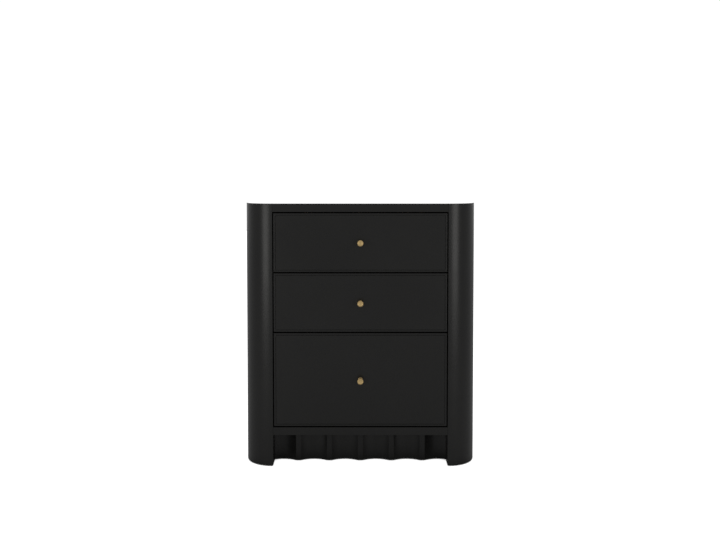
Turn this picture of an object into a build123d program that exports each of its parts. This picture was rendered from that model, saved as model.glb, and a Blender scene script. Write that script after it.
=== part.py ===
from build123d import *
import os

# A three-drawer nightstand with quarter-round corner posts and a fluted plinth.
# Millimetres. The front faces -Y, X runs to the right seen from the front, and Z is up.
# The origin is on the floor, in the middle of the space that the cabinet and its knobs take up.

# Whole cabinet
WIDTH = 560.0
HEIGHT = 637.0
DEPTH = 450.0
KNOB_PROJECTION = 22.0
GLIDE_THICKNESS = 2.0
EDGE_ROUND = 1.2
SEAM_ROUND = 0.6

# Boards
POST_RADIUS = 69.0
OUTER_PANEL = 18.0
INNER_PANEL = 16.0
TOP_THICKNESS = 20.0
BOTTOM_THICKNESS = 19.0
BACK_THICKNESS = 6.0
BACK_RABBET = 10.0
TOP_RABBET = 8.0
BACK_PLAY = 0.5
REAR_POST_DEPTH = 45.0
BATTEN_HEIGHT = 60.0
TOP_BATTEN_HEIGHT = 40.0
RAIL_THICKNESS = 19.0
RAIL_DEPTH = 60.0
RAIL_SETBACK = 2.0

# Toe space
TOE_HEIGHT = 76.5
PLINTH_SETBACK = 44.0
PLINTH_THICKNESS = 24.0
REAR_PLINTH_THICKNESS = 18.0
FLUTE_PITCH = 76.3
FLUTE_LAND = 12.3
FLUTE_DEPTH = 12.0
FLUTES_EACH_SIDE = 3
GLUE_BLOCK = 25.0
GLUE_BLOCK_LENGTH = 60.0
GLUE_BLOCK_PITCH = 130.0

# Drawer fronts, from the top one down
REVEAL = 3.0
SIDE_REVEAL = 2.5
DRAWERS = ("upper", "middle", "lower")
SMALL_FRONT = 141.5
FRONT_THICKNESS = 19.0
BEAD_WIDTH = 4.5
QUIRK_WIDTH = 1.3
QUIRK_DEPTH = 2.2
BEAD_OUTER_ROUND = 1.0
BEAD_INNER_ROUND = 0.8

# Drawer boxes
BOX_BOARD = 12.0
BOX_DEPTH = 400.0
BOX_RAISE = 14.0
SMALL_BOX = 110.0
LARGE_BOX = 190.0
SLIDE_WIDTH = 12.8
TAIL_PITCH = 27.0
TAIL_WIDE = 16.0
TAIL_NARROW = 11.0
BOTTOM_BOARD = 6.0
BOTTOM_RAISE = 10.0
GROOVE_DEPTH = 6.0
GROOVE_PLAY = 0.2

# Ball-bearing slides: widths are measured off the inner panel's face
SLIDE_LENGTH = 400.0
SLIDE_SETBACK = 3.0
SLIDE_ABOVE_BOX = 55.0
SHEET = 1.2
OUTER_HALF = 22.5
MIDDLE_HALF = 17.3
INNER_HALF = 12.1
OUTER_OPEN = 10.2
MIDDLE_WEB = 1.8
INNER_OPEN = 4.2
OUTER_LIP = 1.6
BALL_RADIUS = 1.9
BALLS_PER_CAGE = 6
BALL_PITCH = 32.0
CAGE_LENGTH = 180.0
CAGE_END_GAP = 12.0
CAGE_WIDTH = 2.6
CAGE_SHEET = 0.8
OUTER_RACE = 6.0
INNER_RACE = 7.2

# Knobs
KNOB_HEAD_RADIUS = 7.25
KNOB_COLLAR_RADIUS = 5.6
KNOB_NECK_RADIUS = 3.4
KNOB_COLLAR_EDGE = 1.4
KNOB_COLLAR_BEVEL = (1.0, 0.5)
KNOB_NARROWEST_AT = 7.5
KNOB_HEAD_EDGE = (15.6, 20.4)
KNOB_UNDER_BEVEL = (1.2, 1.0)
KNOB_FACE_BEVEL = 2.0
KNOB_RIM_ROUND = 0.5
KNOB_HOLLOW = 0.6
KNOB_THREAD_DEPTH = 11.0

# Fasteners
HOLE_PLAY = 0.05
DOWEL_RADIUS = 4.0
DOWEL_IN_SIDE = 12.0
DOWEL_IN_RAIL = 15.0
DOWEL_END_PLAY = 1.0
RAIL_DOWEL_SETBACKS = (13.0, 35.0)
FRONT_DOWEL_SETBACKS = (17.0, 50.0)
SIDE_DOWEL_YS = (-60.0, 60.0, 180.0)
PLINTH_DOWEL_SETBACK = 17.0
PLINTH_DOWEL_LEVELS = (20.0, 56.0)
POINT = 3.0
CROSS_WIDTH = 0.8
CROSS_SHARE = 1.2
WOOD_SCREW = {"radius": 1.75, "head_radius": 3.4, "head_height": 1.2, "sunk": True}
FRONT_SCREW = {"radius": 2.0, "head_radius": 4.0, "head_height": 2.2, "sunk": False}
KNOB_SCREW = {"radius": 2.0, "head_radius": 4.4, "head_height": 2.4, "sunk": False}
BACK_SCREW_LENGTH = 25.0
BACK_SCREW_LEVELS = (110.0, 270.0, 430.0, 590.0)
BACK_SCREW_XS = (-140.0, 0.0, 140.0)
SLIDE_SCREW_REACH = 0.42
SLIDE_SCREW_IN_PANEL = 13.0
SLIDE_SCREW_IN_BOX = 9.0
FRONT_SCREW_LENGTH = 25.0
KNOB_SCREW_GRIP = 10.0
FRONT_SCREW_X = 130.0
FRONT_SCREW_RISE = 28.0

# Feet and bumpers
GLIDE_RADIUS = 11.0
GLIDE_OFF_CENTRE = 0.43
NAIL_RADIUS = 1.25
NAIL_LENGTH = 15.0
BUMPER_RADIUS = 3.5
BUMPER_THICKNESS = 1.6
BUMPER_X = 170.0
BUMPER_LIFT = 5.5

# Places worked out from the sizes above
FRONT_Y = KNOB_PROJECTION - (DEPTH + KNOB_PROJECTION) / 2
BACK_Y = FRONT_Y + DEPTH
HALF = WIDTH / 2
INNER_X = HALF - POST_RADIUS
POST_BACK_Y = FRONT_Y + POST_RADIUS
BACK_PANEL_Y = BACK_Y - BACK_THICKNESS
UNDER_TOP = HEIGHT - TOP_THICKNESS
CORE_OUT_X = HALF - OUTER_PANEL
CORE_IN_X = INNER_X + INNER_PANEL
REAR_POST_Y = BACK_PANEL_Y - REAR_POST_DEPTH
OPENING_BOTTOM = TOE_HEIGHT + BOTTOM_THICKNESS
FRONT_BACK_Y = FRONT_Y + FRONT_THICKNESS
BOX_BACK_Y = FRONT_BACK_Y + BOX_DEPTH
BOX_HALF = INNER_X - SLIDE_WIDTH
BOX_INNER = BOX_HALF - BOX_BOARD
SLIDE_Y = FRONT_BACK_Y + SLIDE_SETBACK
SLIDE_MID_Y = SLIDE_Y + SLIDE_LENGTH / 2
LARGE_FRONT = UNDER_TOP - OPENING_BOTTOM - 4 * REVEAL - 2 * SMALL_FRONT
FRONT_HEIGHTS = {"upper": SMALL_FRONT, "middle": SMALL_FRONT, "lower": LARGE_FRONT}
BOX_HEIGHTS = {"upper": SMALL_BOX, "middle": SMALL_BOX, "lower": LARGE_BOX}
FRONT_BOTTOMS = {
    "lower": OPENING_BOTTOM + REVEAL,
    "middle": OPENING_BOTTOM + LARGE_FRONT + 2 * REVEAL,
    "upper": OPENING_BOTTOM + LARGE_FRONT + SMALL_FRONT + 3 * REVEAL,
}
RAIL_Y = FRONT_BACK_Y + RAIL_SETBACK
RAIL_MIDDLES = {
    "upper": FRONT_BOTTOMS["upper"] - REVEAL / 2,
    "lower": FRONT_BOTTOMS["middle"] - REVEAL / 2,
}
PLINTH_Y = FRONT_Y + PLINTH_SETBACK

nodes = {}


def block(x, y, z):
    """A box between two limits along each axis."""
    size = [abs(high - low) for low, high in (x, y, z)]
    middle = [(high + low) / 2 for low, high in (x, y, z)]
    return Pos(*middle) * Box(*size)


def rod(start, end, radius):
    """A round bar from one point to another."""
    run = Vector(*end) - Vector(*start)
    stands = (Align.CENTER, Align.CENTER, Align.MIN)
    return Plane(origin=start, z_dir=run) * Cylinder(radius, run.length, align=stands)


def turned(points, start, direction):
    """A solid turned from (radius, distance) points, standing at start and pointing along direction."""
    outline = Polyline([(radius, 0, along) for radius, along in points], close=True)
    return Plane(origin=start, z_dir=direction) * revolve(make_face(outline), Axis.Z)


def mirrored(shape):
    """The same piece on the other side of the cabinet."""
    return mirror(shape, about=Plane.YZ)


def both_sides(shapes):
    """Pieces on the left with their opposite numbers on the right."""
    return list(shapes) + [mirrored(shape) for shape in shapes]


def add(name, *shapes):
    """Names one sub-part: a solid, or a group of like solids."""
    solids = [solid for shape in shapes for solid in shape.solids()]
    nodes[name] = solids[0] if len(solids) == 1 else Compound(solids)


def add_pair(name, left):
    """Names a left piece and its mirror image on the right."""
    add(f"left_{name}", left)
    add(f"right_{name}", mirrored(left))


def drill(names, cutters):
    """Takes holes out of the named boards."""
    for name in names:
        add(name, nodes[name] - cutters)


def screw(start, direction, length, kind, play=0.0):
    """A pointed cross-head screw. start is its head's face if that is sunk, or the face that it bears on."""
    radius = kind["radius"] + play
    head = kind["head_radius"] + play
    height = kind["head_height"]
    tip = length + play
    shank = [(radius, tip - POINT), (0, tip)]
    if kind["sunk"]:
        return turned([(0, 0), (head, 0), (radius, height)] + shank, start, direction)
    crown = [(0, -height), (0.7 * head, -height), (head, -0.4 * height), (head, 0), (radius, 0)]
    return turned(crown + shank, start, direction)


def cross_recess(start, direction, kind):
    """The driver's slot in a screw head."""
    size = CROSS_SHARE * kind["head_radius"]
    face = 0.0 if kind["sunk"] else -kind["head_height"]
    depth = kind["head_height"]
    slots = Box(size, CROSS_WIDTH, depth) + Box(CROSS_WIDTH, size, depth)
    return Plane(origin=start, z_dir=direction) * Pos(0, 0, face) * slots


def fastened(places, direction, length, kind, names):
    """Screws at some places, with their holes taken out of the named boards."""
    drill(names, [screw(place, direction, length, kind, HOLE_PLAY) for place in places])
    return [
        screw(place, direction, length, kind) - cross_recess(place, direction, kind)
        for place in places
    ]


# ---- Carcass ----


def make_posts():
    """Full-height quarter-round posts, which are the front legs too."""
    centre = Vector(-INNER_X, POST_BACK_Y)
    side = centre - Vector(POST_RADIUS, 0)
    front = centre - Vector(0, POST_RADIUS)
    outline = Line(centre, side) + CenterArc(centre, POST_RADIUS, 180, 90) + Line(front, centre)
    column = extrude(make_face(outline), HEIGHT - GLIDE_THICKNESS)
    column = Pos(0, 0, GLIDE_THICKNESS) * column
    column = fillet(column.edges().filter_by(GeomType.CIRCLE), EDGE_ROUND)
    inner_edge = column.edges().filter_by(Axis.Z).sort_by(Axis.Y)[0]
    add_pair("corner_post", chamfer(inner_edge, SEAM_ROUND))


def make_side_panels():
    """Outer and inner side boards, with the rear posts and battens that keep them apart."""
    up = (GLIDE_THICKNESS, UNDER_TOP)
    outer = block((-HALF, -CORE_OUT_X), (POST_BACK_Y, BACK_Y), up)
    outer -= block((BACK_RABBET - HALF, -CORE_OUT_X), (BACK_PANEL_Y, BACK_Y), up)
    outer_edges = outer.edges().filter_by(Axis.Z).group_by(Axis.X)[0]
    add_pair("outer_panel", fillet(outer_edges, SEAM_ROUND))
    add_pair("inner_panel", block((-CORE_IN_X, -INNER_X), (POST_BACK_Y, BACK_PANEL_Y), up))
    add_pair("rear_post", block((-CORE_OUT_X, -CORE_IN_X), (REAR_POST_Y, BACK_PANEL_Y), up))
    levels = [
        (GLIDE_THICKNESS, GLIDE_THICKNESS + BATTEN_HEIGHT),
        (UNDER_TOP - TOP_BATTEN_HEIGHT, UNDER_TOP),
    ]
    for drawer in DRAWERS:
        middle = slide_height(drawer)
        levels.append((middle - BATTEN_HEIGHT / 2, middle + BATTEN_HEIGHT / 2))
    for side, sign in (("left", -1), ("right", 1)):
        across = (sign * CORE_OUT_X, sign * CORE_IN_X)
        battens = [block(across, (POST_BACK_Y, REAR_POST_Y), level) for level in levels]
        add(f"{side}_side_battens", *battens)


def make_top():
    """Top board, let in between the posts at the front and lying on the sides behind them."""
    height = (UNDER_TOP, HEIGHT)
    board = block((-HALF, HALF), (POST_BACK_Y, BACK_Y), height)
    board += block((-INNER_X, INNER_X), (FRONT_Y, POST_BACK_Y), height)
    rabbet_x = HALF - BACK_RABBET
    board -= block((-rabbet_x, rabbet_x), (BACK_PANEL_Y, BACK_Y), (UNDER_TOP, UNDER_TOP + TOP_RABBET))
    upper_edges = board.edges().group_by(Axis.Z)[-1]
    front_edge = upper_edges.sort_by(Axis.Y)[0]
    back_edge = upper_edges.sort_by(Axis.Y)[-1]
    side_edges = upper_edges.filter_by(Axis.Y)
    outer_edges = [e for e in side_edges if abs(abs(e.center().X) - HALF) < SEAM_ROUND]
    add("top_panel", fillet([front_edge, back_edge] + outer_edges, EDGE_ROUND))


def make_floor_and_back():
    """Bottom board, whose front edge is the lower rail, and the thin back."""
    level = (TOE_HEIGHT, OPENING_BOTTOM)
    bottom = block((-INNER_X, INNER_X), (FRONT_Y, BACK_PANEL_Y), level)
    front_edges = bottom.edges().filter_by(Axis.X).group_by(Axis.Y)[0]
    add("bottom_panel", fillet(front_edges, SEAM_ROUND))
    half = HALF - BACK_RABBET - BACK_PLAY
    back_top = UNDER_TOP + TOP_RABBET - BACK_PLAY
    add("back_panel", block((-half, half), (BACK_PANEL_Y, BACK_Y), (TOE_HEIGHT, back_top)))


def make_plinth():
    """Fluted plinth between the front legs, plain rail between the rear ones, and glue blocks."""
    up = (GLIDE_THICKNESS, TOE_HEIGHT)
    plinth = block((-INNER_X, INNER_X), (PLINTH_Y, PLINTH_Y + PLINTH_THICKNESS), up)
    chord = FLUTE_PITCH - FLUTE_LAND
    radius = (chord**2 / 4 + FLUTE_DEPTH**2) / (2 * FLUTE_DEPTH)
    centre_y = PLINTH_Y + FLUTE_DEPTH - radius
    for step in range(-FLUTES_EACH_SIDE, FLUTES_EACH_SIDE):
        x = (step + 0.5) * FLUTE_PITCH
        plinth -= rod((x, centre_y, 0), (x, centre_y, 2 * TOE_HEIGHT), radius)
    add("fluted_plinth", plinth)
    rear_y = BACK_PANEL_Y - REAR_PLINTH_THICKNESS
    add("rear_plinth_rail", block((-INNER_X, INNER_X), (rear_y, BACK_PANEL_Y), up))
    plinth_back = PLINTH_Y + PLINTH_THICKNESS
    rows = ((plinth_back, plinth_back + GLUE_BLOCK), (rear_y - GLUE_BLOCK, rear_y))
    blocks = []
    for y in rows:
        for step in (-1, 0, 1):
            x = step * GLUE_BLOCK_PITCH
            across = (x - GLUE_BLOCK_LENGTH / 2, x + GLUE_BLOCK_LENGTH / 2)
            blocks.append(block(across, y, (TOE_HEIGHT - GLUE_BLOCK, TOE_HEIGHT)))
    add("plinth_glue_blocks", *blocks)


def make_divider_rails():
    """Rails behind the gaps between the drawers."""
    along = (RAIL_Y, RAIL_Y + RAIL_DEPTH)
    for name, middle in RAIL_MIDDLES.items():
        level = (middle - RAIL_THICKNESS / 2, middle + RAIL_THICKNESS / 2)
        add(f"{name}_divider_rail", block((-INNER_X, INNER_X), along, level))


def make_dowels():
    """Dowels from the rails and boards into the posts and inner panels, with their holes."""
    places = []
    for middle in RAIL_MIDDLES.values():
        places += [(RAIL_Y + setback, middle) for setback in RAIL_DOWEL_SETBACKS]
    bottom_middle = TOE_HEIGHT + BOTTOM_THICKNESS / 2
    top_middle = HEIGHT - TOP_THICKNESS / 2
    front_ys = [FRONT_Y + setback for setback in FRONT_DOWEL_SETBACKS]
    places += [(y, bottom_middle) for y in front_ys + list(SIDE_DOWEL_YS)]
    places += [(y, top_middle) for y in front_ys]
    rear_plinth_y = BACK_PANEL_Y - REAR_PLINTH_THICKNESS / 2
    for y in (PLINTH_Y + PLINTH_DOWEL_SETBACK, rear_plinth_y):
        places += [(y, level) for level in PLINTH_DOWEL_LEVELS]
    dowels = []
    holes = []
    for y, z in places:
        outer = -INNER_X - DOWEL_IN_SIDE
        inner = -INNER_X + DOWEL_IN_RAIL
        dowels.append(rod((outer, y, z), (inner, y, z), DOWEL_RADIUS))
        start = (outer - DOWEL_END_PLAY, y, z)
        end = (inner + DOWEL_END_PLAY, y, z)
        holes.append(rod(start, end, DOWEL_RADIUS + HOLE_PLAY))
    for y in SIDE_DOWEL_YS:
        x = -INNER_X - INNER_PANEL / 2
        low = UNDER_TOP - DOWEL_IN_RAIL
        high = UNDER_TOP + DOWEL_IN_SIDE
        dowels.append(rod((x, y, low), (x, y, high), DOWEL_RADIUS))
        start = (x, y, low - DOWEL_END_PLAY)
        end = (x, y, high + DOWEL_END_PLAY)
        holes.append(rod(start, end, DOWEL_RADIUS + HOLE_PLAY))
    add("carcass_dowels", *both_sides(dowels))
    boards = ["top_panel", "bottom_panel", "fluted_plinth", "rear_plinth_rail"]
    boards += ["upper_divider_rail", "lower_divider_rail"]
    boards += [f"{side}_{name}" for side in ("left", "right") for name in ("corner_post", "inner_panel")]
    drill(boards, both_sides(holes))


def make_back_screws():
    """Screws through the back into the rear posts and the bottom board's edge."""
    post_x = (CORE_OUT_X + CORE_IN_X) / 2
    places = [(sign * post_x, BACK_Y, z) for sign in (-1, 1) for z in BACK_SCREW_LEVELS]
    level = TOE_HEIGHT + BOTTOM_THICKNESS / 2
    places += [(x, BACK_Y, level) for x in BACK_SCREW_XS]
    boards = ["back_panel", "left_rear_post", "right_rear_post", "bottom_panel"]
    screws = fastened(places, (0, -1, 0), BACK_SCREW_LENGTH, WOOD_SCREW, boards)
    add("back_panel_screws", *screws)


def make_glides():
    """Nylon glides nailed under the four legs."""
    front_x = INNER_X + GLIDE_OFF_CENTRE * POST_RADIUS
    front_y = POST_BACK_Y - GLIDE_OFF_CENTRE * POST_RADIUS
    rear_x = (CORE_OUT_X + CORE_IN_X) / 2
    rear_y = (REAR_POST_Y + BACK_PANEL_Y) / 2
    glides = []
    holes = []
    for x, y in ((front_x, front_y), (rear_x, rear_y)):
        for sign in (-1, 1):
            nail_end = (sign * x, y, GLIDE_THICKNESS + NAIL_LENGTH)
            pad = rod((sign * x, y, 0), (sign * x, y, GLIDE_THICKNESS), GLIDE_RADIUS)
            pad = chamfer(pad.edges().group_by(Axis.Z)[0], GLIDE_THICKNESS / 3)
            nail = rod((sign * x, y, GLIDE_THICKNESS), nail_end, NAIL_RADIUS)
            glides.append(pad + nail)
            holes.append(rod((sign * x, y, 0), nail_end, NAIL_RADIUS + HOLE_PLAY))
    add("floor_glides", *glides)
    drill(["left_corner_post", "right_corner_post", "left_rear_post", "right_rear_post"], holes)


def make_bumpers():
    """Rubber bumpers on the divider rails, which the closed fronts stop against."""
    levels = (
        RAIL_MIDDLES["upper"] + BUMPER_LIFT,
        RAIL_MIDDLES["lower"] + BUMPER_LIFT,
        RAIL_MIDDLES["lower"] - BUMPER_LIFT,
    )
    bumpers = []
    for level in levels:
        for x in (-BUMPER_X, BUMPER_X):
            button = rod((x, RAIL_Y, level), (x, RAIL_Y - BUMPER_THICKNESS, level), BUMPER_RADIUS)
            bumpers.append(fillet(button.edges().group_by(Axis.Y)[0], BUMPER_THICKNESS / 2))
    add("front_bumpers", *bumpers)


# ---- Slides ----


def slide_height(drawer):
    """Height of the middle of a drawer's slides."""
    return FRONT_BOTTOMS[drawer] + BOX_RAISE + SLIDE_ABOVE_BOX


def channel(web, opening, half_height, lip):
    """A pressed steel channel along Y, at height 0. web and opening are distances off the inner panel."""
    inwards = SHEET if opening > web else -SHEET
    along = (SLIDE_Y, SLIDE_Y + SLIDE_LENGTH)
    x_web = web - INNER_X
    x_open = opening - INNER_X
    section = block((x_web, x_web + inwards), along, (-half_height, half_height))
    for side in (-1, 1):
        rim = side * half_height
        section += block((x_web, x_open), along, (rim - side * SHEET, rim))
        if lip:
            tip = rim - side * (SHEET + lip)
            section += block((x_open - inwards, x_open), along, (tip, rim))
    bends = section.edges().filter_by(Axis.Y).group_by(Axis.X)
    return fillet(bends[0] if inwards > 0 else bends[-1], SHEET)


def ball_cage(across, level, start_y):
    """A strip of steel with its row of bearing balls."""
    x = across - INNER_X
    middle_y = start_y + CAGE_LENGTH / 2
    strip = Pos(x, middle_y, level) * Box(CAGE_WIDTH, CAGE_LENGTH, CAGE_SHEET)
    for count in range(BALLS_PER_CAGE):
        y = middle_y + (count - (BALLS_PER_CAGE - 1) / 2) * BALL_PITCH
        strip += Pos(x, y, level) * Sphere(BALL_RADIUS)
    return strip


def make_slides(drawer):
    """A drawer's two slides: outer members on the cabinet, middle members, and inner members on the box."""
    height = slide_height(drawer)
    up = Pos(0, 0, height)
    outer = up * channel(0, OUTER_OPEN, OUTER_HALF, OUTER_LIP)
    middle = up * channel(MIDDLE_WEB, OUTER_OPEN, MIDDLE_HALF, 0)
    inner = up * channel(SLIDE_WIDTH, INNER_OPEN, INNER_HALF, 0)
    outer_level = (OUTER_HALF - SHEET + MIDDLE_HALF) / 2
    inner_level = (MIDDLE_HALF - SHEET + INNER_HALF) / 2
    cages = []
    for side in (-1, 1):
        rear = SLIDE_MID_Y + CAGE_END_GAP
        front = SLIDE_Y + CAGE_END_GAP
        cages.append(up * ball_cage(OUTER_RACE, side * outer_level, rear))
        cages.append(up * ball_cage(INNER_RACE, side * inner_level, front))
    add(f"{drawer}_slide_outer_members", outer, mirrored(outer))
    add(f"{drawer}_slide_middle_members", *both_sides([middle] + cages))
    add(f"{drawer}_slide_inner_members", inner, mirrored(inner))


def slide_screw_places(x, drawer):
    """Three places along a slide, on its middle line."""
    height = slide_height(drawer)
    reach = SLIDE_SCREW_REACH * SLIDE_LENGTH
    return [(x, SLIDE_MID_Y + step * reach, height) for step in (-1, 0, 1)]


def make_slide_screws():
    """Screws that hold the outer slide members to the inner panels and the posts in front of them."""
    screws = []
    for sign, side in ((-1, "left"), (1, "right")):
        for drawer in DRAWERS:
            places = slide_screw_places(sign * (INNER_X - SHEET), drawer)
            boards = [f"{drawer}_slide_outer_members", f"{side}_inner_panel", f"{side}_corner_post"]
            length = SHEET + SLIDE_SCREW_IN_PANEL
            screws += fastened(places, (sign, 0, 0), length, WOOD_SCREW, boards)
    add("slide_screws", *screws)


# ---- Drawers ----


def make_front(drawer):
    """Drawer front with a fine bead round its edge, set off by a quirk."""
    half = INNER_X - SIDE_REVEAL
    low = FRONT_BOTTOMS[drawer]
    high = low + FRONT_HEIGHTS[drawer]
    board = block((-half, half), (FRONT_Y, FRONT_BACK_Y), (low, high))
    board = fillet(board.faces().sort_by(Axis.Y)[0].edges(), BEAD_OUTER_ROUND)
    groove_y = (FRONT_Y, FRONT_Y + QUIRK_DEPTH)
    inset = BEAD_WIDTH
    field = BEAD_WIDTH + QUIRK_WIDTH
    groove = block((inset - half, half - inset), groove_y, (low + inset, high - inset))
    groove -= block((field - half, half - field), groove_y, (low + field, high - field))
    board -= groove
    bead_face = board.faces().filter_by(Axis.Y).group_by(Axis.Y)[0].sort_by(SortBy.AREA)[0]
    inner_edges = bead_face.inner_wires()[0].edges()
    add(f"{drawer}_drawer_front", fillet(inner_edges, BEAD_INNER_ROUND))


def tails(drawer, end_y, inwards):
    """The dovetails on one end of the left side board. inwards is 1 or -1, the way from the end along Y."""
    low = FRONT_BOTTOMS[drawer] + BOX_RAISE
    height = BOX_HEIGHTS[drawer]
    count = round(height / TAIL_PITCH)
    pitch = height / count
    root_y = end_y + inwards * BOX_BOARD
    shapes = []
    for number in range(count):
        z = low + (number + 0.5) * pitch
        corners = [
            (end_y, z - TAIL_WIDE / 2),
            (end_y, z + TAIL_WIDE / 2),
            (root_y, z + TAIL_NARROW / 2),
            (root_y, z - TAIL_NARROW / 2),
        ]
        outline = Polyline([(-BOX_HALF, y, level) for y, level in corners], close=True)
        shapes.append(extrude(make_face(outline), BOX_BOARD, dir=(1, 0, 0)))
    return shapes


def make_box(drawer):
    """Dovetailed drawer box with its bottom let into a groove."""
    low = FRONT_BOTTOMS[drawer] + BOX_RAISE
    level = (low, low + BOX_HEIGHTS[drawer])
    front_tails = tails(drawer, FRONT_BACK_Y, 1)
    back_tails = tails(drawer, BOX_BACK_Y, -1)
    between = (FRONT_BACK_Y + BOX_BOARD, BOX_BACK_Y - BOX_BOARD)
    side = block((-BOX_HALF, -BOX_INNER), between, level)
    for tail in front_tails + back_tails:
        side += tail
    across = (-BOX_HALF, BOX_HALF)
    box_front = block(across, (FRONT_BACK_Y, between[0]), level) - both_sides(front_tails)
    box_back = block(across, (between[1], BOX_BACK_Y), level) - both_sides(back_tails)
    groove_half = BOX_INNER + GROOVE_DEPTH
    groove_y = (between[0] - GROOVE_DEPTH, between[1] + GROOVE_DEPTH)
    groove_z = (low + BOTTOM_RAISE, low + BOTTOM_RAISE + BOTTOM_BOARD + GROOVE_PLAY)
    groove = block((-groove_half, groove_half), groove_y, groove_z)
    board_half = groove_half - GROOVE_PLAY
    board_y = (groove_y[0] + GROOVE_PLAY, groove_y[1] - GROOVE_PLAY)
    board_z = (groove_z[0], groove_z[0] + BOTTOM_BOARD)
    add(f"{drawer}_drawer_bottom", block((-board_half, board_half), board_y, board_z))
    add(f"{drawer}_drawer_left_side", side - groove)
    add(f"{drawer}_drawer_right_side", mirrored(side - groove))
    add(f"{drawer}_drawer_box_front", box_front - groove)
    add(f"{drawer}_drawer_back", box_back - groove)


def knob_height(drawer):
    """The knob is in the middle of the front."""
    return FRONT_BOTTOMS[drawer] + FRONT_HEIGHTS[drawer] / 2


def make_knob(drawer):
    """Turned knob: a collar, a waisted neck and a bevelled head with a slightly hollow face."""
    head = KNOB_HEAD_RADIUS
    collar = KNOB_COLLAR_RADIUS
    reach = KNOB_PROJECTION
    thread = KNOB_SCREW["radius"] + HOLE_PLAY
    head_start, head_end = KNOB_HEAD_EDGE
    neck_start = (collar - KNOB_COLLAR_BEVEL[0], 0, KNOB_COLLAR_EDGE + KNOB_COLLAR_BEVEL[1])
    neck_end = (head - KNOB_UNDER_BEVEL[0], 0, head_start - KNOB_UNDER_BEVEL[1])
    face_radius = head - KNOB_FACE_BEVEL
    outline = Polyline((thread, 0, 0), (collar, 0, 0), (collar, 0, KNOB_COLLAR_EDGE), neck_start)
    outline += ThreePointArc(neck_start, (KNOB_NECK_RADIUS, 0, KNOB_NARROWEST_AT), neck_end)
    outline += Polyline(neck_end, (head, 0, head_start), (head, 0, head_end), (face_radius, 0, reach))
    bore = KNOB_THREAD_DEPTH
    outline += Polyline((face_radius, 0, reach), (0, 0, reach), (0, 0, bore))
    outline += Polyline((0, 0, bore), (thread, 0, bore), (thread, 0, 0))
    knob = revolve(make_face(outline), Axis.Z)
    hollow = (face_radius**2 / KNOB_HOLLOW + KNOB_HOLLOW) / 2
    knob -= Pos(0, 0, reach - KNOB_HOLLOW + hollow) * Sphere(hollow)
    rims = knob.edges().filter_by(GeomType.CIRCLE).filter_by(lambda e: abs(e.radius - head) < HOLE_PLAY)
    knob = fillet(rims, KNOB_RIM_ROUND)
    place = Plane(origin=(0, FRONT_Y, knob_height(drawer)), z_dir=(0, -1, 0))
    add(f"{drawer}_drawer_knob", place * knob)


def make_drawer_screws(drawer):
    """The knob's screw, and the screws that hold the front and the inner slide members to the box."""
    inside_y = FRONT_BACK_Y + BOX_BOARD
    outwards = (0, -1, 0)
    fronts = [f"{drawer}_drawer_box_front", f"{drawer}_drawer_front"]
    length = BOX_BOARD + FRONT_THICKNESS + KNOB_SCREW_GRIP
    place = [(0, inside_y, knob_height(drawer))]
    add(f"{drawer}_drawer_knob_screw", *fastened(place, outwards, length, KNOB_SCREW, fronts))
    middle = FRONT_BOTTOMS[drawer] + BOX_RAISE + BOX_HEIGHTS[drawer] / 2
    levels = (middle - FRONT_SCREW_RISE, middle + FRONT_SCREW_RISE)
    places = [(x, inside_y, z) for x in (-FRONT_SCREW_X, FRONT_SCREW_X) for z in levels]
    screws = fastened(places, outwards, FRONT_SCREW_LENGTH, FRONT_SCREW, fronts)
    for sign, side in ((-1, "left"), (1, "right")):
        places = slide_screw_places(sign * (BOX_HALF + SHEET), drawer)
        boards = [f"{drawer}_slide_inner_members", f"{drawer}_drawer_{side}_side"]
        length = SHEET + SLIDE_SCREW_IN_BOX
        screws += fastened(places, (-sign, 0, 0), length, WOOD_SCREW, boards)
    add(f"{drawer}_drawer_screws", *screws)


make_posts()
make_side_panels()
make_top()
make_floor_and_back()
make_plinth()
make_divider_rails()
make_dowels()
make_back_screws()
make_glides()
make_bumpers()
for drawer in DRAWERS:
    make_slides(drawer)
    make_front(drawer)
    make_box(drawer)
    make_knob(drawer)
    make_drawer_screws(drawer)
make_slide_screws()

os.makedirs("parts", exist_ok=True)
for name, shape in nodes.items():
    export_step(shape, f"parts/{name}.step")
print(len(nodes), "nodes")
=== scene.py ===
import math

import bpy
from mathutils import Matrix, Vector


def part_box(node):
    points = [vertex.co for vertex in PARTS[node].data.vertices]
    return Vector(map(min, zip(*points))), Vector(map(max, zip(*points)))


# A three-drawer nightstand in satin black lacquer, with brass knobs and birch drawer boxes.
# Metres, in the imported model's frame: the front faces -Y and Z is up.

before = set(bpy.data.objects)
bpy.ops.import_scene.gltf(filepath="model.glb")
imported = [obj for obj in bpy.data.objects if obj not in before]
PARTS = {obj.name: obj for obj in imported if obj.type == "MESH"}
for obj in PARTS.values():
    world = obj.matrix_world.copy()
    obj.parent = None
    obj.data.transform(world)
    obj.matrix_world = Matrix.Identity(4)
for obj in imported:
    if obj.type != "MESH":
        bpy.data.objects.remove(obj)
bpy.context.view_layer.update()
FRONT_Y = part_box("top_panel")[0].y
POST_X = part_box("right_corner_post")[0].x
SLIDE_FRONT_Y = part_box("upper_slide_outer_members")[0].y
DRAWERS = ("upper", "middle", "lower")

# Camera: the lens and sensor are in millimetres, and the pitch is in degrees below level.
CAMERA_DISTANCE = 2.1755
CAMERA_HEIGHT = 0.724
CAMERA_PITCH = 2.7
CAMERA_LENS = 45.553
CAMERA_SENSOR = 36.0
CAMERA_SHIFT = (-0.0005, -0.0832)

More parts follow.
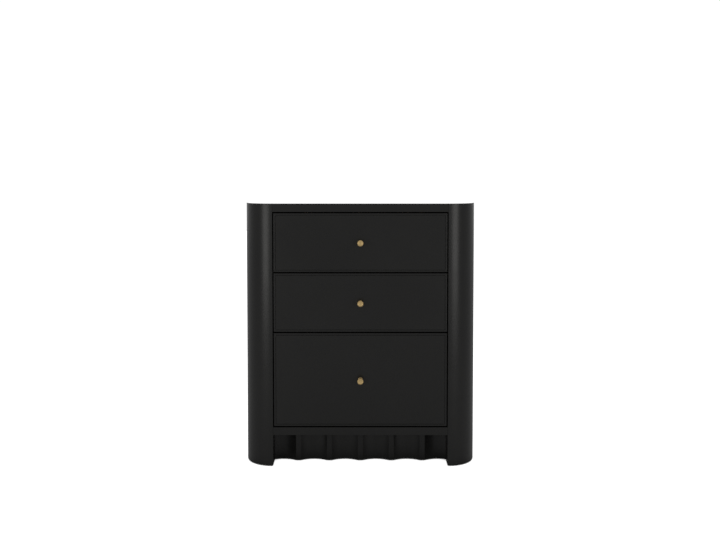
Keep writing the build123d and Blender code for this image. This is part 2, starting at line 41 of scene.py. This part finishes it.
# Two softboxes in front, one to each side, turned towards the corner posts
SOFTBOX_ANGLE = 33.5
SOFTBOX_DISTANCE = 2.0
SOFTBOX_SIZE = (0.85, 0.82)
SOFTBOX_LIFT = 0.1
SOFTBOX_RADIANCE = 2.0
SOFTBOX_TINT = (1.0, 0.985, 0.955)

# The room's brightness at the sides, towards the back and straight behind, and the white that the camera
# sees. The room and the backdrop begin and end at these shares of the way from the sides to straight behind.
ROOM_FRONT = 0.34
ROOM_SIDE = 0.74
BACKDROP = 1.35
SEEN_WHITE = 1.05
ROOM_SPAN = (0.0, 0.95)
BACKDROP_EDGE = (0.93, 0.985)

# Floor
FLOOR_HALF = 8.0
FLOOR_DROP = 0.0002
FLOOR_GREY = 0.45
FLOOR_SEEN_GREY = 0.8
FLOOR_GLOW = 0.95
# Painted light and shade on the floor: a glow that grows beyond the footprint edges, and a painted contact
# shadow within the contact reach.
PAINTED_FLOOR_LIGHT = 0.12
FOOTPRINT_EDGE_X = (0.24, 0.32)
FOOTPRINT_EDGE_Y = (0.18, 0.27)
CONTACT_SHADE_REACH = 0.02
CONTACT_SHADE_RANGE = (0.10, 0.50)


# ---------------------------------------------------------------- node helpers

def plug(tree, socket, value):
    """Links a socket, or sets a plain value, or leaves the default if there is no value."""
    if isinstance(value, bpy.types.NodeSocket):
        tree.links.new(value, socket)
    elif value is not None:
        socket.default_value = value


def node(tree, kind, inputs=None, **settings):
    made = tree.nodes.new(kind)
    for key, value in settings.items():
        setattr(made, key, value)
    for key, value in (inputs or {}).items():
        plug(tree, made.inputs[key], value)
    return made


def calc(tree, operation, a, b=None, c=None):
    made = node(tree, "ShaderNodeMath", operation=operation)
    for socket, value in zip(made.inputs, (a, b, c)):
        plug(tree, socket, value)
    return made.outputs[0]


def each_way(tree, operation, a, b):
    """Vector arithmetic, along each axis on its own."""
    return node(tree, "ShaderNodeVectorMath", {0: a, 1: b}, operation=operation).outputs[0]


def spread(tree, value, low, high, to_low=0.0, to_high=1.0, smooth=False):
    """Stretches the range from low to high over the range from to_low to to_high, and stops there."""
    made = node(
        tree, "ShaderNodeMapRange",
        {"Value": value, "From Min": low, "From Max": high, "To Min": to_low, "To Max": to_high},
        interpolation_type="SMOOTHSTEP" if smooth else "LINEAR",
    )
    return made.outputs["Result"]


def blend_colour(tree, share, first, second):
    made = node(tree, "ShaderNodeMix", data_type="RGBA")
    plug(tree, made.inputs[0], share)
    plug(tree, made.inputs[6], first)
    plug(tree, made.inputs[7], second)
    return made.outputs[2]


def blend_shader(tree, share, first, second):
    inputs = {0: share, 1: first.outputs[0], 2: second.outputs[0]}
    return node(tree, "ShaderNodeMixShader", inputs)


def split(tree, vector):
    return node(tree, "ShaderNodeSeparateXYZ", {"Vector": vector}).outputs


def mapped(tree, vector, scale=(1.0, 1.0, 1.0), offset=(0.0, 0.0, 0.0)):
    """A vector stretched, and then shifted."""
    inputs = {"Vector": vector, "Location": offset, "Scale": scale}
    return node(tree, "ShaderNodeMapping", inputs).outputs["Vector"]


def place(tree, scale=(1.0, 1.0, 1.0), offset=(0.0, 0.0, 0.0)):
    """The object's own coordinates in metres, stretched and then shifted."""
    coords = node(tree, "ShaderNodeTexCoord").outputs["Object"]
    return mapped(tree, coords, scale, offset)


def noise_node(tree, vector, scale, detail, roughness, distortion=0.0):
    return node(
        tree, "ShaderNodeTexNoise",
        {"Vector": vector, "Scale": scale, "Detail": detail, "Roughness": roughness,
         "Distortion": distortion},
    )


def noise(tree, vector, scale, detail=2.0, roughness=0.5, distortion=0.0):
    """Smooth noise. Its scale is in features a metre."""
    return noise_node(tree, vector, scale, detail, roughness, distortion).outputs[0]


def bump(tree, height, depth, normal=None):
    made = node(tree, "ShaderNodeBump", {"Height": height, "Distance": depth, "Normal": normal})
    return made.outputs["Normal"]


def true_normal(tree):
    return node(tree, "ShaderNodeNewGeometry").outputs["Normal"]


def colour(red, green, blue):
    return (red, green, blue, 1.0)


def grey(level):
    return colour(level, level, level)


def tinted(base, red, green, blue):
    """A colour with each of its channels multiplied."""
    return colour(base[0] * red, base[1] * green, base[2] * blue)


def new_material(name):
    made = bpy.data.materials.new(name)
    made.use_nodes = True
    tree = made.node_tree
    return made, tree, tree.nodes["Principled BSDF"]


# ---------------------------------------------------------------- black lacquer and stain

EDGE_RADIUS = 0.0012
RUBBED = colour(0.060, 0.054, 0.046)
RUBBED_ROUGHER = 0.12
SATIN_GLOSS = 0.29
SATIN_SPECULAR = 0.42
SATIN_DARK = colour(0.0104, 0.0103, 0.0099)
SATIN_LIGHT = colour(0.0130, 0.0129, 0.0123)
PEEL_DEPTH = 0.000016
FINE_PEEL_DEPTH = 0.0000025
STAIN_DARK = colour(0.0105, 0.0100, 0.0095)
STAIN_LIGHT = colour(0.0185, 0.0175, 0.0165)
STAIN_FIBRE = colour(0.034, 0.031, 0.027)
STAIN_SPECULAR = 0.35


def edge_wear(tree):
    """1 on a convex or concave edge and 0 on a flat face."""
    rounded = node(tree, "ShaderNodeBevel", {"Radius": EDGE_RADIUS}, samples=4).outputs["Normal"]
    inputs = {0: rounded, 1: true_normal(tree)}
    turned = node(tree, "ShaderNodeVectorMath", inputs, operation="DOT_PRODUCT").outputs["Value"]
    return spread(tree, calc(tree, "SUBTRACT", 1.0, turned), low=0.02, high=0.30)


def slick_at_grazing(tree, rough):
    """A satin film looks smoother the more obliquely it is seen."""
    facing = node(tree, "ShaderNodeLayerWeight", {"Blend": 0.5}).outputs["Facing"]
    share = spread(tree, facing, low=0.90, high=0.965, to_low=1.0, to_high=0.15, smooth=True)
    return calc(tree, "MULTIPLY", rough, share)


def satin_lacquer(name, wear_share, seed=0.0):
    """Satin sprayed lacquer: orange peel, faint cloudiness in the sheen, and rubbed edges."""
    made, tree, shader = new_material(name)
    here = place(tree, offset=(seed, seed * 1.7, seed * 0.6))
    cloud = noise(tree, here, scale=4.5, detail=3.0, roughness=0.55)
    smudge = noise(tree, here, scale=22.0, detail=4.0, roughness=0.55, distortion=0.4)
    peel = noise(tree, here, scale=460.0)
    fine = noise(tree, here, scale=1900.0, roughness=0.6)
    rubs = noise(tree, here, scale=60.0, detail=4.0, roughness=0.65)
    patchy = spread(tree, rubs, low=0.35, high=0.75)
    worn = calc(tree, "MULTIPLY", calc(tree, "MULTIPLY", edge_wear(tree), patchy), wear_share)
    tone = blend_colour(tree, spread(tree, cloud, low=0.25, high=0.75), SATIN_DARK, SATIN_LIGHT)
    plug(tree, shader.inputs["Base Color"], blend_colour(tree, worn, tone, RUBBED))
    slow_sheen = spread(tree, smudge, low=0.3, high=0.7,
                        to_low=SATIN_GLOSS - 0.018, to_high=SATIN_GLOSS + 0.024)
    fine_sheen = spread(tree, fine, low=0.3, high=0.7, to_low=-0.025, to_high=0.025)
    sheen = calc(tree, "ADD", slow_sheen, fine_sheen)
    rough = calc(tree, "MULTIPLY_ADD", worn, RUBBED_ROUGHER, sheen)
    plug(tree, shader.inputs["Roughness"], slick_at_grazing(tree, rough))
    waves = bump(tree, peel, PEEL_DEPTH)
    plug(tree, shader.inputs["Normal"], bump(tree, fine, FINE_PEEL_DEPTH, waves))
    shader.inputs["Specular IOR Level"].default_value = SATIN_SPECULAR
    return made


def inside_black(name):
    """Thin black stain on board: duller than the lacquer, with the board's fibres showing."""
    made, tree, shader = new_material(name)
    cloud = noise(tree, place(tree), scale=7.0, detail=4.0, roughness=0.6)
    upright = place(tree, scale=(1.0, 1.0, 0.05))
    fibre = noise(tree, upright, scale=620.0, detail=3.0, roughness=0.6)
    lengthwise = place(tree, scale=(1.0, 0.08, 1.0))
    streak = noise(tree, lengthwise, scale=240.0, detail=3.0, roughness=0.55)
    tone = blend_colour(tree, spread(tree, cloud, low=0.3, high=0.7), STAIN_DARK, STAIN_LIGHT)
    fibres = spread(tree, fibre, low=0.45, high=0.8, to_high=0.45)
    plug(tree, shader.inputs["Base Color"], blend_colour(tree, fibres, tone, STAIN_FIBRE))
    plug(tree, shader.inputs["Roughness"],
         spread(tree, streak, low=0.3, high=0.7, to_low=0.55, to_high=0.72))
    plug(tree, shader.inputs["Normal"], bump(tree, fibre, depth=0.00005))
    shader.inputs["Specular IOR Level"].default_value = STAIN_SPECULAR
    return made


# ---------------------------------------------------------------- wood

# The colours of each wood's early and late growth
WOODS = {
    "birch": (colour(0.720, 0.560, 0.370), colour(0.520, 0.350, 0.195)),
    "beech": (colour(0.560, 0.375, 0.235), colour(0.375, 0.215, 0.120)),
}
PLY_COLOURS = (colour(0.70, 0.53, 0.34), colour(0.50, 0.335, 0.185))
RING_WIDTH = 0.0042
RING_SWAY = 0.030
RING_RISE = 3.2
SWAYS_ACROSS = 6.0
SWAYS_ALONG = 1.1
FIBRE_STRETCH = 0.035
PITH_BEHIND = 0.055
FIBRE_DEPTH = 0.00006
RING_DEPTH = 0.00004
END_GRAIN_ROUGHER = 0.14
COAT_ROUGHNESS = 0.28
PLY_FIGURES = 11.0


def growth_rings(tree, coords, stretched, axis, pith):
    """Growth rings round a line along the axis: 0 in early wood, and up to 1 where the late wood ends."""
    sway = noise_node(tree, stretched, scale=1.0, detail=2.0, roughness=0.5).outputs[1]
    pushed = each_way(tree, "SUBTRACT", sway, (0.5, 0.5, 0.5))
    bent = each_way(tree, "ADD", coords, each_way(tree, "MULTIPLY", pushed, (RING_SWAY,) * 3))
    flat = [1.0, 1.0, 1.0]
    flat[axis] = 0.0
    across = each_way(tree, "MULTIPLY", each_way(tree, "SUBTRACT", bent, pith), tuple(flat))
    radius = node(tree, "ShaderNodeVectorMath", {0: across}, operation="LENGTH").outputs["Value"]
    phase = calc(tree, "FRACT", calc(tree, "DIVIDE", radius, RING_WIDTH))
    late = calc(tree, "POWER", phase, RING_RISE)
    fallen = spread(tree, phase, low=0.90, high=1.0, to_low=1.0, to_high=0.0)
    return calc(tree, "MULTIPLY", late, fallen)


def solid_wood(name, wood, axis, pith, seed, gloss, coat):
    """Sawn board cut from one log: growth rings round a pith line, fibres along it, and end grain."""
    made, tree, shader = new_material(name)
    pale, dark = WOODS[wood]
    coords = node(tree, "ShaderNodeTexCoord").outputs["Object"]
    shifted = mapped(tree, coords, offset=(seed, seed * 0.7, -seed * 1.3))
    slow = [SWAYS_ACROSS] * 3
    slow[axis] = SWAYS_ALONG
    stretched = mapped(tree, shifted, tuple(slow))
    ring = growth_rings(tree, coords, stretched, axis, pith)
    drawn_out = [1.0, 1.0, 1.0]
    drawn_out[axis] = FIBRE_STRETCH
    drawn = mapped(tree, shifted, tuple(drawn_out))
    fibre = noise(tree, drawn, scale=900.0, detail=4.0, roughness=0.62)
    pore = spread(tree, noise(tree, drawn, scale=2600.0), low=0.60, high=0.75)
    patch = noise(tree, stretched, scale=1.4, detail=3.0, roughness=0.55)
    end = calc(tree, "ABSOLUTE", split(tree, true_normal(tree))[axis])
    end = spread(tree, end, low=0.6, high=0.9)
    tone = blend_colour(tree, calc(tree, "MULTIPLY", ring, 0.55), pale, dark)
    tone = blend_colour(tree, spread(tree, fibre, low=0.35, high=0.8, to_high=0.35), tone, dark)
    tone = blend_colour(tree, spread(tree, patch, low=0.35, high=0.7, to_high=0.30), tone,
                        tinted(pale, 0.90, 0.84, 0.74))
    tone = blend_colour(tree, calc(tree, "MULTIPLY", pore, 0.22), tone, tinted(dark, 0.55, 0.5, 0.45))
    tone = blend_colour(tree, calc(tree, "MULTIPLY", end, 0.42), tone, tinted(dark, 0.72, 0.66, 0.58))
    plug(tree, shader.inputs["Base Color"], tone)
    sheen = spread(tree, fibre, low=0.3, high=0.7, to_low=gloss, to_high=gloss + 0.10)
    plug(tree, shader.inputs["Roughness"], calc(tree, "MULTIPLY_ADD", end, END_GRAIN_ROUGHER, sheen))
    grain = bump(tree, fibre, FIBRE_DEPTH)
    plug(tree, shader.inputs["Normal"], bump(tree, ring, RING_DEPTH, grain))
    if coat:
        shader.inputs["Coat Weight"].default_value = coat
        shader.inputs["Coat Roughness"].default_value = COAT_ROUGHNESS
    return made


def plywood(name):
    """Rotary-cut birch face: wide soft figure, with fine fibres along it."""
    made, tree, shader = new_material(name)
    pale, dark = PLY_COLOURS
    wide = place(tree, scale=(1.0, 9.0, 1.0), offset=(0.31, 0.12, 0.0))
    sway = noise(tree, wide, scale=1.4, detail=3.0, distortion=0.6)
    rings = calc(tree, "FRACT", calc(tree, "MULTIPLY", sway, PLY_FIGURES))
    from_middle = calc(tree, "ABSOLUTE", calc(tree, "SUBTRACT", rings, 0.5))
    figure = spread(tree, from_middle, low=0.0, high=0.5)
    drawn = place(tree, scale=(0.04, 1.0, 1.0))
    fibre = noise(tree, drawn, scale=800.0, detail=4.0, roughness=0.6)
    tone = blend_colour(tree, calc(tree, "MULTIPLY", figure, 0.32), pale, dark)
    tone = blend_colour(tree, spread(tree, fibre, low=0.35, high=0.8, to_high=0.32), tone, dark)
    plug(tree, shader.inputs["Base Color"], tone)
    plug(tree, shader.inputs["Roughness"],
         spread(tree, fibre, low=0.3, high=0.7, to_low=0.42, to_high=0.52))
    plug(tree, shader.inputs["Normal"], bump(tree, fibre, depth=0.00005))
    return made


# ---------------------------------------------------------------- metals and moulded parts

BRASS_BRIGHT = colour(0.940, 0.690, 0.330)
BRASS_MELLOW = colour(0.800, 0.545, 0.240)
BRASS_CUT = colour(0.700, 0.480, 0.215)
BRASS_BROWNED = colour(0.300, 0.190, 0.090)
# The black on the slides' front ends is painted shade, to darken the drawer gaps.
GAP_SHADE_BLACK = colour(0.012, 0.012, 0.012)
GAP_SHADE_ROUGHNESS = 0.62
GAP_SHADE_LENGTH = 0.004
GAP_SHADE_EDGE = 0.0002


def brass(name):
    """Turned, brushed brass with lathe rings round the knob's axis and a browned neck."""
    made, tree, shader = new_material(name)
    unit = split(tree, node(tree, "ShaderNodeTexCoord").outputs["Generated"])
    side = calc(tree, "SUBTRACT", unit["X"], 0.5)
    rise = calc(tree, "SUBTRACT", unit["Z"], 0.5)
    squares = calc(tree, "ADD", calc(tree, "MULTIPLY", side, side), calc(tree, "MULTIPLY", rise, rise))
    radius = calc(tree, "SQRT", squares)
    ringed = node(tree, "ShaderNodeCombineXYZ", {"X": radius, "Y": unit["Y"]}).outputs[0]
    rings = noise(tree, ringed, scale=46.0, detail=3.0, roughness=0.6)
    fine = noise(tree, ringed, scale=170.0)
    patina = noise(tree, place(tree), scale=260.0, detail=4.0, roughness=0.6)
    # Generated Y runs from 0 at the face of the head to 1 at the collar on the drawer front.
    behind_head = spread(tree, unit["Y"], low=0.16, high=0.42, smooth=True)
    narrow = spread(tree, radius, low=0.46, high=0.30, smooth=True)
    neck = calc(tree, "MULTIPLY", behind_head, narrow)
    tone = blend_colour(tree, spread(tree, patina, low=0.35, high=0.75, to_high=0.55),
                        BRASS_BRIGHT, BRASS_MELLOW)
    tone = blend_colour(tree, spread(tree, rings, low=0.35, high=0.7, to_high=0.25), tone, BRASS_CUT)
    tone = blend_colour(tree, calc(tree, "MULTIPLY", neck, 0.55), tone, BRASS_BROWNED)
    plug(tree, shader.inputs["Base Color"], tone)
    shader.inputs["Metallic"].default_value = 1.0
    sheen = spread(tree, patina, low=0.3, high=0.7, to_low=0.25, to_high=0.36)
    plug(tree, shader.inputs["Roughness"], calc(tree, "MULTIPLY_ADD", neck, 0.12, sheen))
    cut = bump(tree, rings, depth=0.000010)
    plug(tree, shader.inputs["Normal"], bump(tree, fine, depth=0.0000035, normal=cut))
    return made


def plated(name, pale, dark, gloss, stretch, gap_shade_y=None):
    """Zinc-plated or plain steel: rolled streaks along the part and a cloudy passivation.
    In front of the given depth along Y it is painted black, as painted shade where the slide shows in the
    drawer gaps."""
    made, tree, shader = new_material(name)
    here = place(tree)
    streak = noise(tree, place(tree, scale=stretch), scale=1100.0, detail=3.0, roughness=0.6)
    cloud = noise(tree, here, scale=90.0, detail=4.0, roughness=0.6, distortion=0.8)
    spangle = noise(tree, here, scale=900.0)
    tone = blend_colour(tree, spread(tree, cloud, low=0.3, high=0.75), pale, dark)
    tone = blend_colour(tree, spread(tree, streak, low=0.4, high=0.8, to_high=0.35), tone, dark)
    rough = spread(tree, streak, low=0.3, high=0.7, to_low=gloss, to_high=gloss + 0.14)
    rough = calc(tree, "MULTIPLY_ADD", spread(tree, spangle, low=0.3, high=0.7), 0.05, rough)
    if gap_shade_y is None:
        shader.inputs["Metallic"].default_value = 1.0
    else:
        # Painted shade: black in front of the given depth, so the slide's front end looks dark in the drawer
        # gaps.
        metal = spread(tree, split(tree, here)["Y"], low=gap_shade_y - GAP_SHADE_EDGE, high=gap_shade_y + GAP_SHADE_EDGE)
        tone = blend_colour(tree, metal, GAP_SHADE_BLACK, tone)
        gap_shade_rough = spread(tree, metal, low=0.0, high=1.0, to_low=GAP_SHADE_ROUGHNESS, to_high=0.0)
        rough = calc(tree, "MAXIMUM", rough, gap_shade_rough)
        plug(tree, shader.inputs["Metallic"], metal)
    plug(tree, shader.inputs["Base Color"], tone)
    plug(tree, shader.inputs["Roughness"], rough)
    plug(tree, shader.inputs["Normal"], bump(tree, streak, depth=0.000012))
    return made


def moulded(name, pale, dark, gloss, grain):
    """Moulded nylon or rubber: fine spark-eroded texture and scuffs."""
    made, tree, shader = new_material(name)
    here = place(tree)
    texture = noise(tree, here, scale=grain, detail=3.0, roughness=0.6)
    scuff = noise(tree, here, scale=130.0, detail=4.0, roughness=0.7, distortion=1.0)
    plug(tree, shader.inputs["Base Color"],
         blend_colour(tree, spread(tree, scuff, low=0.35, high=0.75), pale, dark))
    plug(tree, shader.inputs["Roughness"],
         spread(tree, scuff, low=0.3, high=0.7, to_low=gloss, to_high=gloss + 0.15))
    plug(tree, shader.inputs["Normal"], bump(tree, texture, depth=0.00003))
    return made


# ---------------------------------------------------------------- dressing the CAD nodes

def dress(name, material):
    """Puts one finish on a CAD node in place of the plain colour it was packed with."""
    for slot in PARTS[name].material_slots:
        slot.material = material


def board(wood, name, along, gloss, coat=0.0):
    """A board of its own from the log: each has its own pith line and its own sway."""
    low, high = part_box(name)
    size = high - low
    seed = 0.37 * (1 + sum(ord(letter) for letter in name) % 17)
    axis = "XYZ".index(along)
    thin = min((way for way in range(3) if way != axis), key=lambda way: size[way])
    wide = 3 - axis - thin
    pith = (low + high) / 2
    pith[thin] += math.copysign(PITH_BEHIND, pith[thin])
    pith[wide] += size[wide] * (0.10 + 0.05 * (seed % 3))
    dress(name, solid_wood(wood + "_" + name, wood, axis, tuple(pith), seed, gloss, coat))


FINISHES = {
    "satin_black_lacquer": satin_lacquer("satin_black", wear_share=0.45),
    "black_inside_finish": inside_black("inside_black"),
    "birch_plywood": plywood("birch_ply"),
    "aged_brass": brass("turned_brass"),
    "zinc_plated_slide": plated("zinc_slide", colour(0.62, 0.635, 0.65), colour(0.46, 0.475, 0.50),
                                gloss=0.30, stretch=(1.0, 0.03, 1.0),
                                gap_shade_y=SLIDE_FRONT_Y + GAP_SHADE_LENGTH),
    "screw_steel": plated("steel_screw", colour(0.56, 0.55, 0.53), colour(0.40, 0.39, 0.37),
                          gloss=0.28, stretch=(1.0, 1.0, 1.0)),
    "nylon": moulded("glide_nylon", colour(0.50, 0.48, 0.43), colour(0.40, 0.38, 0.34),
                     gloss=0.40, grain=1500.0),
    "bumper_rubber": moulded("bumper_soft", colour(0.060, 0.058, 0.056), colour(0.040, 0.039, 0.038),
                             gloss=0.60, grain=1700.0),
}

for name, part in PARTS.items():
    packed = part.material_slots[0].material.name.split(".")[0]
    if packed in FINISHES:
        dress(name, FINISHES[packed])

for number, drawer in enumerate(DRAWERS, start=1):
    front = satin_lacquer("satin_black_" + drawer, wear_share=0.40, seed=float(number))
    dress(drawer + "_drawer_front", front)
    for name, along in (("box_front", "X"), ("back", "X"), ("left_side", "Y"), ("right_side", "Y")):
        board("birch", drawer + "_drawer_" + name, along, gloss=0.38, coat=0.25)

for name, along in (("left_side_battens", "Y"), ("right_side_battens", "Y"),
                    ("plinth_glue_blocks", "X"), ("carcass_dowels", "X")):
    board("beech", name, along, gloss=0.52)


# ---------------------------------------------------------------- studio

def seen_by_camera(tree):
    return node(tree, "ShaderNodeLightPath").outputs["Is Camera Ray"]


def world_light():
    """White behind the cabinet, and a dimmer room in front of it, as a product studio has."""
    world = bpy.data.worlds.new("studio")
    bpy.context.scene.world = world
    world.use_nodes = True
    tree = world.node_tree
    tree.nodes.clear()
    back = split(tree, node(tree, "ShaderNodeTexCoord").outputs["Generated"])["Y"]
    room_level = spread(tree, back, *ROOM_SPAN, to_low=ROOM_FRONT, to_high=ROOM_SIDE)
    level = spread(tree, back, *BACKDROP_EDGE, to_low=room_level, to_high=BACKDROP, smooth=True)
    room = node(tree, "ShaderNodeBackground", {"Color": grey(1.0), "Strength": level})
    sheet = node(tree, "ShaderNodeBackground", {"Color": grey(1.0), "Strength": SEEN_WHITE})
    mixed = blend_shader(tree, seen_by_camera(tree), room, sheet)
    output = node(tree, "ShaderNodeOutputWorld")
    tree.links.new(mixed.outputs[0], output.inputs["Surface"])


def sweep_material():
    """Near white to the camera, with a painted contact shadow where something stands on it, and grey to the
    light, with painted light that grows away from the cabinet's footprint.
    """
    made, tree, shader = new_material("studio_sweep")
    tree.nodes.remove(shader)
    here = split(tree, place(tree))
    # Painted light for rays other than the camera's: a glow that is nil under the cabinet's footprint and
    # grows away from it, so the plinth's reflection darkens towards the floor.
    out_y = spread(tree, calc(tree, "ABSOLUTE", here["Y"]), *FOOTPRINT_EDGE_Y, smooth=True)
    out_x = spread(tree, calc(tree, "ABSOLUTE", here["X"]), *FOOTPRINT_EDGE_X, smooth=True)
    painted_light = calc(tree, "MULTIPLY", calc(tree, "MAXIMUM", out_x, out_y), PAINTED_FLOOR_LIGHT)
    dull = node(tree, "ShaderNodeBsdfDiffuse", {"Color": grey(FLOOR_GREY)})
    painted_light_glow = node(tree, "ShaderNodeEmission", {"Color": grey(1.0), "Strength": painted_light})
    unseen = node(tree, "ShaderNodeAddShader", {0: dull.outputs[0], 1: painted_light_glow.outputs[0]})
    # Painted contact shadow: the camera's white glow is dimmed by ambient occlusion where a part stands
    # close.
    nearby = node(tree, "ShaderNodeAmbientOcclusion", {"Distance": CONTACT_SHADE_REACH}, samples=8)
    clear = spread(tree, nearby.outputs["AO"], *CONTACT_SHADE_RANGE, smooth=True)
    glow = calc(tree, "MULTIPLY", clear, FLOOR_GLOW)
    glowing = node(tree, "ShaderNodeEmission", {"Color": grey(1.0), "Strength": glow})
    pale = node(tree, "ShaderNodeBsdfDiffuse", {"Color": grey(FLOOR_SEEN_GREY)})
    seen = node(tree, "ShaderNodeAddShader", {0: glowing.outputs[0], 1: pale.outputs[0]})
    mixed = blend_shader(tree, seen_by_camera(tree), unseen, seen)
    output = next(each for each in tree.nodes if each.type == "OUTPUT_MATERIAL")
    tree.links.new(mixed.outputs[0], output.inputs["Surface"])
    return made


def studio_floor():
    ways = ((-1, -1), (1, -1), (1, 1), (-1, 1))
    corners = [(x * FLOOR_HALF, y * FLOOR_HALF, -FLOOR_DROP) for x, y in ways]
    mesh = bpy.data.meshes.new("studio_floor")
    mesh.from_pydata(corners, [], [(0, 1, 2, 3)])
    mesh.materials.append(sweep_material())
    floor = bpy.data.objects.new("studio_floor", mesh)
    bpy.context.scene.collection.objects.link(floor)


def softbox(name, azimuth):
    wide, tall = SOFTBOX_SIZE
    lamp = bpy.data.lights.new(name, "AREA")
    lamp.shape = "RECTANGLE"
    lamp.size, lamp.size_y = wide, tall
    lamp.energy = SOFTBOX_RADIANCE * math.pi * wide * tall
    lamp.color = SOFTBOX_TINT
    holder = bpy.data.objects.new(name, lamp)
    bpy.context.scene.collection.objects.link(holder)
    turn = math.radians(azimuth)
    post_x = math.copysign(POST_X, azimuth)
    holder.location = (
        post_x + SOFTBOX_DISTANCE * math.sin(turn),
        FRONT_Y - SOFTBOX_DISTANCE * math.cos(turn),
        SOFTBOX_LIFT + tall / 2,
    )
    aim = Vector((post_x, FRONT_Y, holder.location.z)) - holder.location
    holder.rotation_euler = aim.to_track_quat("-Z", "Y").to_euler()
    holder.visible_camera = False


def camera():
    lens = bpy.data.cameras.new("camera")
    lens.lens = CAMERA_LENS
    lens.sensor_width = CAMERA_SENSOR
    lens.shift_x, lens.shift_y = CAMERA_SHIFT
    holder = bpy.data.objects.new("camera", lens)
    holder.location = (0.0, FRONT_Y - CAMERA_DISTANCE, CAMERA_HEIGHT)
    holder.rotation_euler = (math.radians(90.0 - CAMERA_PITCH), 0.0, 0.0)
    bpy.context.scene.collection.objects.link(holder)
    bpy.context.scene.camera = holder


world_light()
studio_floor()
softbox("softbox_left", -SOFTBOX_ANGLE)
softbox("softbox_right", SOFTBOX_ANGLE)
camera()
bpy.context.scene.view_settings.view_transform = "Standard"
